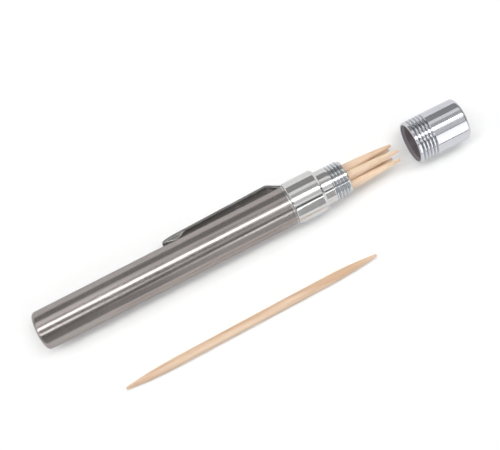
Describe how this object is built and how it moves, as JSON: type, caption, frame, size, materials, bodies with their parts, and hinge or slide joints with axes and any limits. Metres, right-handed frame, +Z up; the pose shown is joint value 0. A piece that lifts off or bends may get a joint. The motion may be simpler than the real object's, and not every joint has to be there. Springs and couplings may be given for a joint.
{
  "type": "toothpick box",
  "caption": "Slim round steel pocket case for toothpicks: a closed tube with a spring pocket clip, a threaded neck and a screw cap with grip grooves, shown open.",
  "frame": {"origin": "centre of the tail face, on the tube's axis", "axes": "+X along the tube from the tail to the mouth, +Z up from the table that the tube lies on, +Y to the side with the clip"},
  "size_m": [0.1063, 0.0276, 0.01],
  "materials": {
    "satin_steel": "ground satin",
    "polished_steel": "polished",
    "spring_steel": "dull",
    "liner_rubber": "matt",
    "pick_wood": "bare"
  },
  "bodies": {
    "tube": {"barrel": "satin_steel", "tail_plug": "satin_steel", "neck_bushing": "polished_steel", "clip_ring": "spring_steel"},
    "clip_arm": {"clip_arm": "spring_steel"},
    "cap_liner": {"cap_liner": "liner_rubber"},
    "cap": {"cap": "polished_steel"},
    "toothpick_1": {"toothpick_1": "pick_wood"},
    "toothpick_2": {"toothpick_2": "pick_wood"},
    "toothpick_3": {"toothpick_3": "pick_wood"},
    "toothpick_4": {"toothpick_4": "pick_wood"},
    "toothpick_5": {"toothpick_5": "pick_wood"},
    "loose_toothpick": {"loose_toothpick": "pick_wood"}
  },
  "joints": [
    {"name": "clip_flex", "type": "hinge", "parent": "tube", "child": "clip_arm", "pos_m": [0.0621, 0.00439, -0.0027], "axis": [0, -0.5239, -0.8518], "range_deg": [0, 3.5], "stiffness_Nm_per_rad": 0.7},
    {"name": "cap_slide", "type": "slide", "parent": "tube", "child": "cap_liner", "axis": [1, 0, 0], "range_m": [-0.02325, 0]},
    {"name": "cap_turn", "type": "hinge", "parent": "cap_liner", "child": "cap", "pos_m": [0.0999, 0, 0], "axis": [1, 0, 0], "continuous": true},
    {"name": "toothpick_1_slide", "type": "slide", "parent": "tube", "child": "toothpick_1", "axis": [1, 0, 0], "range_m": [-0.0212, 0]},
    {"name": "toothpick_2_slide", "type": "slide", "parent": "tube", "child": "toothpick_2", "axis": [1, 0, 0], "range_m": [-0.0212, 0]},
    {"name": "toothpick_3_slide", "type": "slide", "parent": "tube", "child": "toothpick_3", "axis": [1, 0, 0], "range_m": [-0.0212, 0]},
    {"name": "toothpick_4_slide", "type": "slide", "parent": "tube", "child": "toothpick_4", "axis": [1, 0, 0], "range_m": [-0.0212, 0]},
    {"name": "toothpick_5_slide", "type": "slide", "parent": "tube", "child": "toothpick_5", "axis": [1, 0, 0], "range_m": [-0.0212, 0]},
    {"name": "loose_toothpick_slide", "type": "slide", "parent": "tube", "child": "loose_toothpick", "axis": [0, 1, 0], "range_m": [-0.01, 0.01]}
  ],
  "couplings": [
    {"joint": "toothpick_1_slide", "follows": "cap_slide", "ratio": 0.41},
    {"joint": "toothpick_2_slide", "follows": "cap_slide", "ratio": 0.41},
    {"joint": "toothpick_3_slide", "follows": "cap_slide", "ratio": 0.41},
    {"joint": "toothpick_4_slide", "follows": "cap_slide", "ratio": 0.41},
    {"joint": "toothpick_5_slide", "follows": "cap_slide", "ratio": 0.41}
  ]
}
